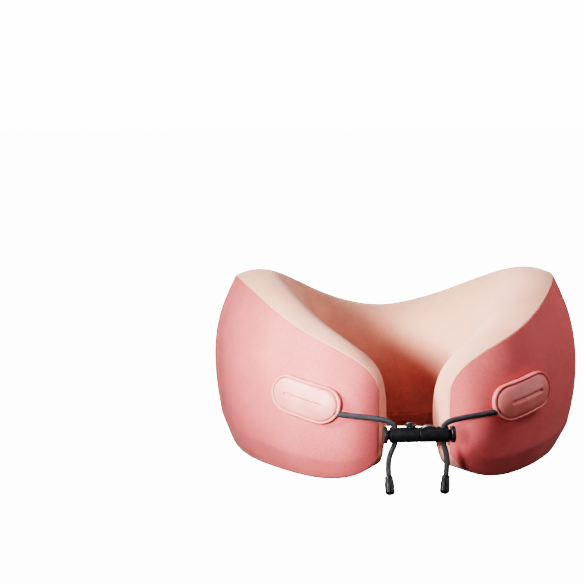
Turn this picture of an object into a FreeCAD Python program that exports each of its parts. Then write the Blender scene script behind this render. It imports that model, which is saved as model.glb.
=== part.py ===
import FreeCAD
import Part
import math
import os
from FreeCAD import Vector

# A U-shaped travel neck pillow. +Z is up, the opening of the U faces -Y, and the origin is under the
# middle of the pillow on the surface that it stands on. Millimetres throughout.

# ---- Driving dimensions: the pillow --------------------------------------------------------------
# The pillow is swept along a U, from the left tip at s = -1, round the back at s = 0, to the right
# tip at s = 1. Each row holds one quantity at the stations STATION_S, from the back to the tip.
STATION_S = (0.0, 0.2, 0.42, 0.62, 0.82, 1.0)
PROFILE = {
    "centre_x": (0.0, 62.5, 99.0, 90.0, 60.0, 25.5),
    "centre_y": (92.5, 75.5, 16.0, -44.0, -88.0, -112.0),
    "inner_reach": (42.0, 40.0, 38.0, 37.0, 37.0, 46.0),     # centre line to the inner wall
    "outer_reach": (36.0, 38.0, 40.0, 37.5, 31.0, 32.0),     # centre line to the outer wall
    "height": (94.0, 113.0, 137.0, 130.0, 107.0, 96.0),
    "ridge": (0.0, 0.0, 0.08, 0.14, 0.12, 0.1),              # of the outer reach
    "seam_out": (0.7, 0.72, 0.6, 0.55, 0.6, 0.4),            # of the outer reach
    "seam_up": (0.9, 0.93, 0.965, 0.975, 0.985, 0.985),      # of the height
    "belly_up": (0.5, 0.51, 0.53, 0.51, 0.5, 0.5),
    "inner_up": (0.5, 0.5, 0.48, 0.47, 0.47, 0.5),
    "crease_out": (0.9, 0.89, 0.88, 0.88, 0.88, 0.9),
    "crease_up": (0.2, 0.21, 0.2, 0.18, 0.165, 0.14),
    "sole_out": (0.66, 0.63, 0.57, 0.5, 0.52, 0.6),
    "sole_in": (0.97, 0.9, 0.66, 0.55, 0.55, 0.55),          # of the inner reach
    "low_seam_out": (1.03, 0.99, 0.88, 0.83, 0.82, 0.82),
}
MIRROR_ODD = ("centre_x",)
LOW_SEAM_UP = 0.12         # of the height
SOLE_SPARE = 0.15          # cut off below the surface that the pillow stands on, to leave a true flat
CAP_START = 0.768          # where the rounding of each tip begins
CAP_POWER = 2.4
CAP_KEEP = 0.48            # share of the height that is left at the very tip
CAP_LEVEL = 0.42           # the height that the tip shrinks towards
PANEL_THICK = 2.2
CORE_INSET = 3.4           # the foam stands a little clear of its cover
GROUND_SIZE = 400.0        # wider than the pillow
BACK_SECTIONS = 9          # from tip rounding to tip rounding
CAP_ANGLES = (14, 28, 41, 53, 64, 73, 80, 84.5, 87.3)
CORE_CAP_ANGLES = (14, 28, 41, 53, 62)

# ---- Driving dimensions: badges, cords and their lock ---------------------------------------------
BADGE_LENGTH = 54.0
BADGE_WIDTH = 26.8
BADGE_TILT = 11.0          # degrees, down towards the middle
BADGE_S = 0.828
BADGE_HEIGHT = 61.5
BADGE_THICK = 5.0
BADGE_SECTIONS = 5         # sections to each side of its middle, one every BADGE_STEP
BADGE_STEP = 0.03
LAST_SECTION_S = 0.99      # a section at the very tip would have no width
PRISM_DEPTH = 60.0         # more than the badge bends over its length
BADGE_GAP = 0.25
WALL_SAMPLES = 100         # places tried along a wall curve for the badge's height
PILL_MARGIN = 2.4
PILL_THICK = 1.3
PILL_GAP = 0.04
CORD_DIAMETER = 4.0
CORD_BORE_GAP = 0.2
# Hand-chosen routes of the two cords, from inside the badge, through the lock, to the moulded tip.
CORD_ROUTES = {
    -1: (
        (-62.0, -124.0, 54.3),
        (-55.8, -126.2, 53.4),
        (-48.0, -128.6, 52.8),
        (-38.4, -131.6, 52.4),
        (-29.0, -134.6, 51.8),
        (-20.8, -136.7, 50.2),
        (-16.5, -137.0, 46.0),
        (-16.5, -137.0, 34.6),
        (-20.6, -139.3, 28.0),
        (-22.8, -143.7, 20.5),
        (-22.6, -148.3, 13.3),
    ),
    1: (
        (62.0, -124.0, 54.3),
        (55.8, -126.2, 53.4),
        (48.0, -128.8, 52.6),
        (38.4, -131.9, 51.9),
        (29.0, -134.7, 51.1),
        (21.0, -136.5, 49.7),
        (16.5, -137.0, 46.0),
        (16.5, -137.0, 34.6),
        (19.2, -139.3, 27.6),
        (19.0, -143.6, 20.2),
        (17.6, -148.1, 13.2),
    ),
}
TIP_LENGTH = 12.6
TIP_TOP_RADIUS = 2.9
TIP_RADIUS = 3.4
TIP_COLLAR = 2.2           # the straight rim at its top
TIP_FLARE = 3.0
TIP_ROUNDING = 1.0

LOCK_Y = -137.0
LOCK_Z = 40.5
SPLIT_HALF = 0.15          # half the gap between the lock's two halves
BARREL_RADIUS = 5.4
BARREL_END = 20.5
BARREL_ROUNDING = 0.5
EDGE_SPARE = 0.1           # an edge this much short of the full circle is still a rim
COLLAR_LENGTH = 1.6
COLLAR_LIFT = 0.3
BORE_RADIUS = 3.7
BORE_FLOOR = 9.9
PLUNGER_RADIUS = 3.65
PLUNGER_END = 13.5
PLUNGER_TRAVEL = 1.7
FLANGE_RADIUS = 6.0
FLANGE_FACE = 22.4
FLANGE_THICK = 3.0
FLANGE_ROUNDING = 0.9
CORD_X = 16.5
CORD_HOLE = 2.45
HOLE_HALF_LENGTH = 15.0    # more than the lock is thick
MOUTH_START = 4.15         # the flare at each end of the cord's hole, from the lock's axis
MOUTH_DEPTH = 2.5
MOUTH_FLARE = 1.15
TONGUE_RADIUS = 2.6
TONGUE_BORE = 2.67
TONGUE_END = -8.7
TONGUE_FLAT = 1.9          # the tongue is cut flat on top at this height
TONGUE_GROOVE = 2.0        # the radius that is left where the latch plate grips it
TONGUE_SPARE = 0.2
THUMB_RIDGE = (0.8, 13.4)  # the low hump on top of the plug, along the lock
THUMB_RIDGE_LIFT = 1.2
THUMB_RIDGE_FOOT = 4.2
THUMB_RIDGE_WIDTH = 4.8
CHAMBER = (-7.3, -5.1)     # the latch plate's slot, along the lock
CHAMBER_HALF_WIDTH = 3.1
CHAMBER_HEIGHTS = (-4.1, 3.7)
LATCH_THICK = 1.2
LATCH_FLAT = 2.62
LATCH_FOOT = -3.3
LATCH_SIDE_GAP = 0.15
BUTTON_X = -6.2
BUTTON_RADIUS = 4.1
BUTTON_RIM = 0.9
BUTTON_DOME = 1.9
BUTTON_TRAVEL = 0.65
BUTTON_SKIRT = 6.25        # underside of the button's head above the lock's axis
STEM_RADIUS = 1.3
STEM_GAP = 0.08
STEM_END = 3.35
SPRING_POCKET = 2.7
POCKET_FLOOR = 4.35
SPRING_WIRE = 0.45
SPRING_SIDES = 12
SPRING_END_GAP = 0.05
PLUNGER_COIL = (2.6, 3)    # radius and turns
BUTTON_COIL = (2.0, 2)

# ---- Driving dimensions: the zipper and the label at the back --------------------------------------
ZIP_CENTRE_Y = -30.9
ZIP_RADIUS = 159.5         # at the height ZIP_Z
ZIP_LEAN = 0.17            # growth of the radius for each millimetre up, with the wall
ZIP_Z = 31.0
ZIP_HALF_ANGLE = 31.0
ZIP_TAPE = 7.5
ZIP_TAPE_THICK = 0.8
ZIP_COIL = 1.3
ZIP_STOP_ANGLE = 1.0
SLIDER_ANGLE = 27.0        # where the slider rests, at the closed end
SLIDER_LENGTH = 10.0
SLIDER_HEIGHT = 7.6
SLIDER_ROUNDING = 2.4
SLIDER_LIFT = 0.12         # over the coil
SLIDER_THICK = 1.18
SLIDER_FLANGE = 1.0
SLIDER_FLANGE_INSET = 2.6
EAR_HALF_LENGTH = 1.6
EAR_HEIGHTS = (1.7, 2.7)
PIN_RECESS = 0.2           # the pin ends this much inside the ears
EAR_REACH = 2.6
PIN_RADIUS = 0.6
PIN_REACH = 1.6            # from the slider's face to the pin's axis
PULL_BARREL_RADIUS = 1.25
PULL_BARREL_LENGTH = 3.0
PULL_BORE = 0.66
PULL_NECK = (0.3, 4.5)
PULL_NECK_THICK = 1.1
PULL_GRIP_START = 4.0
PULL_LENGTH = 17.0
PULL_WIDTH = 6.0
PULL_THICK = 1.4
PULL_ROUNDING = 1.8
EYELET_RADIUS = 1.5
EYELET_INSET = 3.5
ZIP_STOP_THICK = 0.9
FIT_GAP = 0.03             # between the zipper's closely fitted pieces
LABEL_ANGLE = -24.0
LABEL_WIDTH = 22.0
LABEL_DROP = 14.0
LABEL_BELOW = 5.0          # its top edge below the middle of the zipper
LABEL_THICK = 0.4
LABEL_GAP = 0.1


# ---- Smooth quantities along the U ----------------------------------------------------------------
def natural_spline(knots, values):
    """A cubic through all the knots, with no curvature at its two ends."""
    count = len(knots)
    gaps = [knots[i + 1] - knots[i] for i in range(count - 1)]
    slopes = [(values[i + 1] - values[i]) / gaps[i] for i in range(count - 1)]
    upper = [0.0] * count
    bend = [0.0] * count
    for i in range(1, count - 1):
        pivot = 2 * (gaps[i - 1] + gaps[i]) - gaps[i - 1] * upper[i - 1]
        upper[i] = gaps[i] / pivot
        bend[i] = (6 * (slopes[i] - slopes[i - 1]) - gaps[i - 1] * bend[i - 1]) / pivot
    for i in range(count - 2, 0, -1):
        bend[i] -= upper[i] * bend[i + 1]

    def value(s):
        i = max(0, min(count - 2, sum(1 for knot in knots[1:-1] if knot <= s)))
        before, after = s - knots[i], knots[i + 1] - s
        curve = bend[i] * (after ** 3 - after * gaps[i] ** 2)
        curve += bend[i + 1] * (before ** 3 - before * gaps[i] ** 2)
        return (values[i] * after + values[i + 1] * before + curve / 6) / gaps[i]

    return value


def mirrored(name):
    """The quantity from tip to tip, with the left half taken from the right one."""
    sign = -1 if name in MIRROR_ODD else 1
    knots = [-s for s in reversed(STATION_S[1:])] + list(STATION_S)
    values = [sign * v for v in reversed(PROFILE[name][1:])] + list(PROFILE[name])
    return natural_spline(knots, values)


ALONG = {name: mirrored(name) for name in PROFILE}


def frame_at(s):
    """The centre line's point at s, and the level direction outwards from it."""
    step = 1e-4
    x, y = ALONG["centre_x"](s), ALONG["centre_y"](s)
    ahead = Vector(ALONG["centre_x"](s + step) - x, ALONG["centre_y"](s + step) - y, 0).normalize()
    return Vector(x, y, 0), Vector(-ahead.y, ahead.x, 0)


def section_curves(s, inset):
    """The section's eight Bezier curves at s, moved inwards by inset, as lists of (out, up) points."""
    v = {name: ALONG[name](s) for name in PROFILE}
    a_in, a_out, top = v["inner_reach"], v["outer_reach"], v["height"]
    low = (-v["low_seam_out"] * a_in, LOW_SEAM_UP * top)
    inner = (-a_in, v["inner_up"] * top)
    ridge = (v["ridge"] * a_out, top)
    seam = (v["seam_out"] * a_out, v["seam_up"] * top)
    belly = (a_out, v["belly_up"] * top)
    crease = (v["crease_out"] * a_out, v["crease_up"] * top)
    sole_out = (v["sole_out"] * a_out, -SOLE_SPARE)
    sole_in = (-v["sole_in"] * a_in, -SOLE_SPARE)

    def move(point, du, dz):
        return (point[0] + du, point[1] + dz)

    rise = inner[1] - low[1]
    over = top - inner[1]
    curves = [
        [low, move(low, -0.5 * (a_in + low[0]), 0.225 * rise), move(inner, 0, -0.5 * rise), inner],
        [inner, move(inner, 0, 0.6 * over), move(ridge, -0.55 * (a_in + ridge[0]), 0), ridge],
    ]
    for start, end, leave, arrive in (
        (ridge, seam, (0.5, 0.0), (0.35, 0.595)),
        (seam, belly, (0.52, 0.3), (0.0, 0.45)),
        (belly, crease, (0.0, 0.45), (0.396, 0.297)),
        (crease, sole_out, (0.4, 0.4), (0.35, 0.0)),
        (sole_out, sole_in, (1 / 3, 1 / 3), (1 / 3, 1 / 3)),
        (sole_in, low, (0.5, 0.0), (0.28, 0.455)),
    ):
        du, dz = end[0] - start[0], end[1] - start[1]
        curves.append([start, move(start, leave[0] * du, leave[1] * dz),
                       move(end, -arrive[0] * du, -arrive[1] * dz), end])

    along_cap = max(0.0, (abs(s) - CAP_START) / (1 - CAP_START))
    width = (1 - along_cap ** CAP_POWER) ** (1 / CAP_POWER)
    tall = CAP_KEEP + (1 - CAP_KEEP) * width
    level = CAP_LEVEL * top
    floor = level * (1 - tall)
    height = top * tall
    squeeze = 1 - 2 * inset / height

    def place(point):
        reach = (a_in if point[0] < 0 else a_out) * width
        out = point[0] * width * (1 - inset / reach)
        up = level + (point[1] - level) * tall
        return (out, floor + inset + (up - floor) * squeeze)

    return [[place(point) for point in curve] for curve in curves]


def edges_at(s, inset, first, last):
    """The section's curves first..last at s as edges in space."""
    centre, outwards = frame_at(s)
    edges = []
    for curve in section_curves(s, inset)[first:last]:
        bezier = Part.BezierCurve()
        bezier.setPoles([centre + outwards * out + Vector(0, 0, up) for out, up in curve])
        edges.append(bezier.toShape())
    return edges


def stations(cap_angles):
    """Where the sections stand, from the left tip to the right one."""
    cap = [CAP_START + (1 - CAP_START) * math.sin(math.radians(a)) for a in cap_angles]
    back = [CAP_START * (2 * i / (BACK_SECTIONS - 1) - 1) for i in range(BACK_SECTIONS)]
    return [-s for s in reversed(cap)] + back + cap


def foam_core():
    wires = [Part.Wire(edges_at(s, CORE_INSET, 0, 8)) for s in stations(CORE_CAP_ANGLES)]
    return Part.makeLoft(wires, True, False)


def strip(places, outside, inside, first, last):
    """A thin curved strip: the section's curves first..last, between two insets, along the places."""
    wires = []
    for s in places:
        outer = edges_at(s, outside, first, last)
        inner = edges_at(s, inside, first, last)
        ends = [(outer[0].Vertexes[0].Point, inner[0].Vertexes[0].Point),
                (outer[-1].Vertexes[-1].Point, inner[-1].Vertexes[-1].Point)]
        sides = [Part.LineSegment(a, b).toShape() for a, b in ends]
        wires.append(Part.Wire(Part.__sortEdges__(outer + [sides[1]] + inner + [sides[0]])))
    return Part.makeLoft(wires, True, False)


def trimmed(shape):
    """Cut off at the surface that the pillow stands on, for a flat sole."""
    half = GROUND_SIZE / 2
    return shape.cut(Part.makeBox(GROUND_SIZE, GROUND_SIZE, 1, Vector(-half, -half, -1)))


# ---- The badges -----------------------------------------------------------------------------------
def surface_point(s, height, lift):
    """The point of the outer wall at s and this height, lifted off it, with the level direction along it."""
    centre, outwards = frame_at(s)
    best = None
    for curve in section_curves(s, -lift)[3:5]:
        bezier = Part.BezierCurve()
        bezier.setPoles([Vector(out, 0, up) for out, up in curve])
        for i in range(WALL_SAMPLES + 1):
            point = bezier.value(i / WALL_SAMPLES)
            if best is None or abs(point.z - height) < abs(best.z - height):
                best = point
    return centre + outwards * best.x + Vector(0, 0, best.z), outwards


def capsule_prism(side, length, width):
    """A prism of capsule outline, square to the pillow's front at one badge."""
    point, outwards = surface_point(side * BADGE_S, BADGE_HEIGHT, 0)
    along = Vector(-outwards.y, outwards.x, 0) * side
    tilt = math.radians(BADGE_TILT)
    along = along * math.cos(tilt) + Vector(0, 0, math.sin(tilt))
    across = outwards.cross(along).normalize()
    radius = width / 2
    half = length / 2 - radius
    corner = []
    for a, b in ((-1, -1), (1, -1), (1, 1), (-1, 1)):
        corner.append(point + along * (a * half) + across * (b * radius))
    ends = [point + along * (half + radius), point - along * (half + radius)]
    outline = Part.Wire([
        Part.LineSegment(corner[0], corner[1]).toShape(),
        Part.Arc(corner[1], ends[0], corner[2]).toShape(),
        Part.LineSegment(corner[2], corner[3]).toShape(),
        Part.Arc(corner[3], ends[1], corner[0]).toShape(),
    ])
    outline.translate(outwards * (-PRISM_DEPTH / 2))
    return Part.Face(outline).extrude(outwards * PRISM_DEPTH)


def badge(side, low, high, margin):
    """A capsule of rubber, bent to the pillow's front, between two heights above the fabric."""
    steps = range(-BADGE_SECTIONS, BADGE_SECTIONS + 1)
    places = [side * (BADGE_S + BADGE_STEP * i) for i in steps if BADGE_S + BADGE_STEP * i < LAST_SECTION_S]
    layer = strip(places, -high, -low, 3, 5)
    prism = capsule_prism(side, BADGE_LENGTH - 2 * margin, BADGE_WIDTH - 2 * margin)
    return layer.common(prism)


# ---- Cords -----------------------------------------------------------------------------------------
def route(side):
    return [Vector(x, y, z) for x, y, z in CORD_ROUTES[side]]


def rounded_path(points):
    """Straight runs joined by tangent arcs, each as large as its two runs allow."""
    edges, radii = [], []
    start = points[0]
    for before, corner, after in zip(points, points[1:], points[2:]):
        incoming, outgoing = corner - before, after - corner
        setback = 0.45 * min(incoming.Length, outgoing.Length)
        incoming.normalize()
        outgoing.normalize()
        half_turn = incoming.getAngle(outgoing) / 2
        radius = setback / math.tan(half_turn)
        inwards = (outgoing - incoming).normalize()
        first, last = corner - incoming * setback, corner + outgoing * setback
        middle = corner + inwards * (radius / math.cos(half_turn) - radius)
        edges.append(Part.LineSegment(start, first).toShape())
        edges.append(Part.Arc(first, middle, last).toShape())
        radii.append(radius)
        start = last
    edges.append(Part.LineSegment(start, points[-1]).toShape())
    return Part.Wire(edges), radii


def tube(points, radius):
    path, radii = rounded_path(points)
    ring = Part.Wire(Part.Circle(points[0], points[1] - points[0], radius).toShape())
    return path.makePipeShell([ring], True, False), path.Length, radii


def cord(side):
    radius = CORD_DIAMETER / 2
    solid, length, radii = tube(route(side), radius)
    print("cord length %.1f, volume %.1f against %.1f, radii %s" % (
        length, solid.Volume, length * math.pi * radius ** 2, [round(r, 1) for r in radii]))
    return solid


def cord_tip(side):
    """A moulded end: a flared sleeve with a rounded bottom, closed on the cord's cut end."""
    before, end = route(side)[-2:]
    shape = lathe([
        (0, 0), (TIP_TOP_RADIUS, 0), (TIP_TOP_RADIUS, TIP_COLLAR), (TIP_RADIUS, TIP_COLLAR + TIP_FLARE),
        (TIP_RADIUS, TIP_LENGTH - TIP_ROUNDING), (TIP_RADIUS - TIP_ROUNDING, TIP_LENGTH), (0, TIP_LENGTH),
    ])
    shape.Placement = FreeCAD.Placement(end, FreeCAD.Rotation(Vector(0, 0, 1), end - before))
    return shape


def lathe(outline):
    """A solid of revolution about Z from (radius, height) points."""
    points = [Vector(r, 0, z) for r, z in outline]
    return Part.Face(Part.makePolygon(points + points[:1])).revolve(Vector(), Vector(0, 0, 1), 360)


# ---- The cord lock ---------------------------------------------------------------------------------
def rod(x_from, x_to, radius):
    """A round bar along the lock's axis."""
    low, high = min(x_from, x_to), max(x_from, x_to)
    return Part.makeCylinder(radius, high - low, Vector(low, LOCK_Y, LOCK_Z), Vector(1, 0, 0))


def cord_hole(side, radius):
    foot = Vector(side * CORD_X, LOCK_Y, LOCK_Z - HOLE_HALF_LENGTH)
    return Part.makeCylinder(radius, 2 * HOLE_HALF_LENGTH, foot, Vector(0, 0, 1))


def rims(shape, radius):
    """The shape's round edges of this radius."""
    return [e for e in shape.Edges if e.Length > 2 * math.pi * radius - EDGE_SPARE]


def half_barrel(side):
    """One half of the lock's barrel, with the plunger's bore and the cord's hole."""
    shape = rod(side * SPLIT_HALF, side * BARREL_END, BARREL_RADIUS)
    shape = shape.makeFillet(BARREL_ROUNDING, rims(shape, BARREL_RADIUS))
    collar = rod(side * (BARREL_END - COLLAR_LENGTH), side * BARREL_END, BARREL_RADIUS + COLLAR_LIFT)
    shape = shape.fuse(collar).removeSplitter()
    shape = shape.cut(rod(side * BORE_FLOOR, side * (BARREL_END + 1), BORE_RADIUS))
    for way in (-1, 1):
        mouth = Vector(side * CORD_X, LOCK_Y, LOCK_Z + way * MOUTH_START)
        flare = Part.makeCone(CORD_HOLE, CORD_HOLE + MOUTH_FLARE, MOUTH_DEPTH, mouth, Vector(0, 0, way))
        shape = shape.cut(flare)
    return shape.cut(cord_hole(side, CORD_HOLE))


def box_between(x, y, z):
    return Part.makeBox(x[1] - x[0], y[1] - y[0], z[1] - z[0], Vector(x[0], y[0], z[0]))


def about(middle, half):
    """The stretch of this half length about its middle."""
    return (middle - half, middle + half)


def over_axis(low, high):
    """Heights above the lock's axis."""
    return (LOCK_Z + low, LOCK_Z + high)


def chamber():
    """The slot that the latch plate slides in, inside the socket."""
    return box_between(CHAMBER, about(LOCK_Y, CHAMBER_HALF_WIDTH), over_axis(*CHAMBER_HEIGHTS))


def lock_socket():
    top = BARREL_RADIUS + 1
    shape = half_barrel(-1)
    shape = shape.cut(rod(TONGUE_END - TONGUE_SPARE, 1, TONGUE_BORE))
    shape = shape.cut(chamber())
    pocket = Vector(BUTTON_X, LOCK_Y, LOCK_Z + POCKET_FLOOR)
    shape = shape.cut(Part.makeCylinder(SPRING_POCKET, top - POCKET_FLOOR, pocket))
    return shape.cut(Part.makeCylinder(STEM_RADIUS + STEM_GAP, top, Vector(BUTTON_X, LOCK_Y, LOCK_Z)))


def thumb_ridge():
    """The low hump on top of the plug."""
    start, end = THUMB_RIDGE
    near, foot = LOCK_Y - THUMB_RIDGE_WIDTH / 2, LOCK_Z + THUMB_RIDGE_FOOT
    left, right = Vector(start, near, foot), Vector(end, near, foot)
    peak = Vector((start + end) / 2, near, LOCK_Z + BARREL_RADIUS + THUMB_RIDGE_LIFT)
    outline = Part.Wire([Part.Arc(left, peak, right).toShape(), Part.LineSegment(right, left).toShape()])
    return Part.Face(outline).extrude(Vector(0, THUMB_RIDGE_WIDTH, 0))


def lock_plug():
    across = about(LOCK_Y, BARREL_RADIUS)
    flat = box_between((TONGUE_END - 1, 0), across, over_axis(TONGUE_FLAT, BARREL_RADIUS))
    groove = rod(*CHAMBER, TONGUE_RADIUS + 1).cut(rod(*CHAMBER, TONGUE_GROOVE))
    tongue = rod(TONGUE_END, 2, TONGUE_RADIUS).cut(groove).cut(flat)
    return half_barrel(1).fuse([tongue, thumb_ridge()]).removeSplitter()


def plunger(side):
    shape = rod(side * FLANGE_FACE, side * (FLANGE_FACE + FLANGE_THICK), FLANGE_RADIUS)
    shape = shape.makeFillet(FLANGE_ROUNDING, rims(shape, FLANGE_RADIUS))
    body = rod(side * PLUNGER_END, side * (FLANGE_FACE + FLANGE_THICK / 2), PLUNGER_RADIUS)
    shape = shape.fuse(body).removeSplitter()
    hole = cord_hole(side, CORD_HOLE)
    moved = hole.copy()
    moved.translate(Vector(side * PLUNGER_TRAVEL, 0, 0))
    between = box_between(sorted((side * CORD_X, side * (CORD_X + PLUNGER_TRAVEL))),
                          about(LOCK_Y, CORD_HOLE), about(LOCK_Z, HOLE_HALF_LENGTH))
    return shape.cut(hole.fuse([moved, between]))


def coil_spring(base, direction, length, radius, turns):
    """A compression spring from base along direction. Its wire is many-sided."""
    free = length - SPRING_WIRE - 2 * SPRING_END_GAP
    helix = Part.makeHelix(free / turns, free, radius)
    half_wire = SPRING_WIRE / 2
    corners = []
    for i in range(SPRING_SIDES + 1):
        turn = 2 * math.pi * i / SPRING_SIDES
        corners.append(Vector(radius + half_wire * math.cos(turn), 0, half_wire * math.sin(turn)))
    shape = Part.Wire(helix).makePipeShell([Part.makePolygon(corners)], True, True)
    offset = direction * (half_wire + SPRING_END_GAP)
    shape.Placement = FreeCAD.Placement(base + offset, FreeCAD.Rotation(Vector(0, 0, 1), direction))
    return shape


def plunger_spring(side):
    base = Vector(side * BORE_FLOOR, LOCK_Y, LOCK_Z)
    return coil_spring(base, Vector(side, 0, 0), PLUNGER_END - BORE_FLOOR, *PLUNGER_COIL)


def release_button():
    """A mushroom of a button on a stem that reaches down to the latch plate."""
    low, recess = BUTTON_SKIRT, BUTTON_SKIRT + BUTTON_RIM
    dome_radius = (BUTTON_RADIUS ** 2 + BUTTON_DOME ** 2) / (2 * BUTTON_DOME)
    top = recess + BUTTON_DOME
    head = Part.makeCylinder(BUTTON_RADIUS, top - low, Vector(0, 0, low))
    head = head.common(Part.makeSphere(dome_radius, Vector(0, 0, top - dome_radius)))
    head = head.cut(Part.makeCylinder(SPRING_POCKET, recess - low, Vector(0, 0, low)))
    stem = Part.makeCylinder(STEM_RADIUS, recess + BUTTON_DOME / 2 - STEM_END, Vector(0, 0, STEM_END))
    shape = head.fuse(stem).removeSplitter()
    shape.translate(Vector(BUTTON_X, LOCK_Y, LOCK_Z))
    return shape


def button_spring():
    base = Vector(BUTTON_X, LOCK_Y, LOCK_Z + POCKET_FLOOR)
    return coil_spring(base, Vector(0, 0, 1), BUTTON_SKIRT + BUTTON_RIM - POCKET_FLOOR, *BUTTON_COIL)


def latch_plate():
    """The plate round the tongue, hung on the button's stem."""
    across = about(LOCK_Y, CHAMBER_HALF_WIDTH - LATCH_SIDE_GAP)
    along = about(sum(CHAMBER) / 2, LATCH_THICK / 2)
    plate = box_between(along, across, over_axis(LATCH_FOOT, STEM_END - FIT_GAP))
    hole = rod(*CHAMBER, TONGUE_BORE)
    raised = hole.copy()
    raised.translate(Vector(0, 0, BUTTON_TRAVEL))
    above_flat = box_between(CHAMBER, about(LOCK_Y, BARREL_RADIUS), over_axis(LATCH_FLAT, BARREL_RADIUS))
    return plate.cut(hole.fuse(raised).cut(above_flat))


# ---- The zipper and the care label -----------------------------------------------------------------
def arc_band(lift, thick, low, high, angle_from, angle_to):
    """A band about the zipper's upright axis that leans with the wall. Angle 0 is straight back."""
    near_low = ZIP_RADIUS + ZIP_LEAN * (low - ZIP_Z) + lift
    near_high = ZIP_RADIUS + ZIP_LEAN * (high - ZIP_Z) + lift
    face = Part.Face(Part.makePolygon([
        Vector(0, near_low, low), Vector(0, near_low + thick, low),
        Vector(0, near_high + thick, high), Vector(0, near_high, high), Vector(0, near_low, low)]))
    band = face.revolve(Vector(), Vector(0, 0, 1), angle_to - angle_from)
    band.rotate(Vector(), Vector(0, 0, 1), angle_from)
    band.translate(Vector(0, ZIP_CENTRE_Y, 0))
    return band


def zipper_tape(side):
    low, high = sorted((ZIP_Z + side * (ZIP_COIL + FIT_GAP), ZIP_Z + side * (ZIP_COIL + ZIP_TAPE)))
    return arc_band(0, ZIP_TAPE_THICK, low, high, -ZIP_HALF_ANGLE, ZIP_HALF_ANGLE)


def zipper_coil(side):
    low, high = sorted((ZIP_Z + side * FIT_GAP, ZIP_Z + side * ZIP_COIL))
    return arc_band(0, ZIP_COIL, low, high, -ZIP_HALF_ANGLE, ZIP_HALF_ANGLE)


def zipper_stops():
    low, high = about(ZIP_Z, ZIP_COIL)
    stops = []
    for angle in (-ZIP_HALF_ANGLE, ZIP_HALF_ANGLE - ZIP_STOP_ANGLE):
        stops.append(arc_band(ZIP_COIL + FIT_GAP, ZIP_STOP_THICK, low, high, angle, angle + ZIP_STOP_ANGLE))
    return Part.makeCompound(stops)


def at_slider(shape):
    """Leans a shape made upright and straight behind with the wall, and takes it to the slider's place."""
    lean = math.degrees(math.atan(ZIP_LEAN))
    shape.rotate(Vector(0, ZIP_CENTRE_Y + ZIP_RADIUS, ZIP_Z), Vector(1, 0, 0), -lean)
    shape.rotate(Vector(0, ZIP_CENTRE_Y, 0), Vector(0, 0, 1), SLIDER_ANGLE)
    return shape


def rounded_plate(x, y, z, rounding):
    """A plate that faces backwards, with its four corners rounded."""
    plate = box_between(x, y, z)
    corners = [e for e in plate.Edges if abs(e.tangentAt(e.FirstParameter).y) > 0.9]
    return plate.makeFillet(rounding, corners)


def zipper_slider():
    face_y = ZIP_CENTRE_Y + ZIP_RADIUS
    near = face_y + ZIP_COIL + SLIDER_LIFT
    far = near + SLIDER_THICK
    half, tall = SLIDER_LENGTH / 2, SLIDER_HEIGHT / 2
    plate = rounded_plate((-half, half), (near, far), about(ZIP_Z, tall), SLIDER_ROUNDING)
    tape_top = face_y + ZIP_TAPE_THICK
    parts = []
    for side in (-1, 1):
        z = sorted((ZIP_Z + side * tall, ZIP_Z + side * (tall - SLIDER_FLANGE)))
        x = about(0, half - SLIDER_FLANGE_INSET)
        parts.append(box_between(x, (tape_top + SLIDER_LIFT, near + SLIDER_THICK / 2), z))
        z = sorted(ZIP_Z + side * height for height in EAR_HEIGHTS)
        parts.append(box_between(about(0, EAR_HALF_LENGTH), (far - SLIDER_THICK / 2, far + EAR_REACH), z))
    pin_half = EAR_HEIGHTS[1] - PIN_RECESS
    pin_foot = Vector(0, far + PIN_REACH, ZIP_Z - pin_half)
    parts.append(Part.makeCylinder(PIN_RADIUS, 2 * pin_half, pin_foot))
    return at_slider(plate.fuse(parts).removeSplitter())


def zipper_pull():
    """A puller that lies back along the zipper, with a barrel round the slider's pin."""
    hinge_y = ZIP_CENTRE_Y + ZIP_RADIUS + ZIP_COIL + SLIDER_LIFT + SLIDER_THICK + PIN_REACH
    half_barrel_length = PULL_BARREL_LENGTH / 2
    foot = Vector(0, hinge_y, ZIP_Z - half_barrel_length)
    barrel = Part.makeCylinder(PULL_BARREL_RADIUS, PULL_BARREL_LENGTH, foot)
    neck = box_between(PULL_NECK, about(hinge_y, PULL_NECK_THICK / 2), about(ZIP_Z, half_barrel_length))
    grip = rounded_plate((PULL_GRIP_START, PULL_LENGTH), about(hinge_y, PULL_THICK / 2),
                         about(ZIP_Z, PULL_WIDTH / 2), PULL_ROUNDING)
    eye = Vector(PULL_LENGTH - EYELET_INSET, hinge_y - PULL_THICK, ZIP_Z)
    eyelet = Part.makeCylinder(EYELET_RADIUS, 2 * PULL_THICK, eye, Vector(0, 1, 0))
    shape = barrel.fuse([neck, grip]).removeSplitter()
    bore = Part.makeCylinder(PULL_BORE, PULL_BARREL_LENGTH, foot)
    return at_slider(shape.cut(eyelet).cut(bore))


def care_label():
    """A blank label, folded once and hanging from the lower tape."""
    half = math.degrees(LABEL_WIDTH / 2 / ZIP_RADIUS)
    top = ZIP_Z - LABEL_BELOW
    lift = ZIP_TAPE_THICK + LABEL_GAP
    return arc_band(lift, LABEL_THICK, top - LABEL_DROP, top, LABEL_ANGLE - half, LABEL_ANGLE + half)


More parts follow.
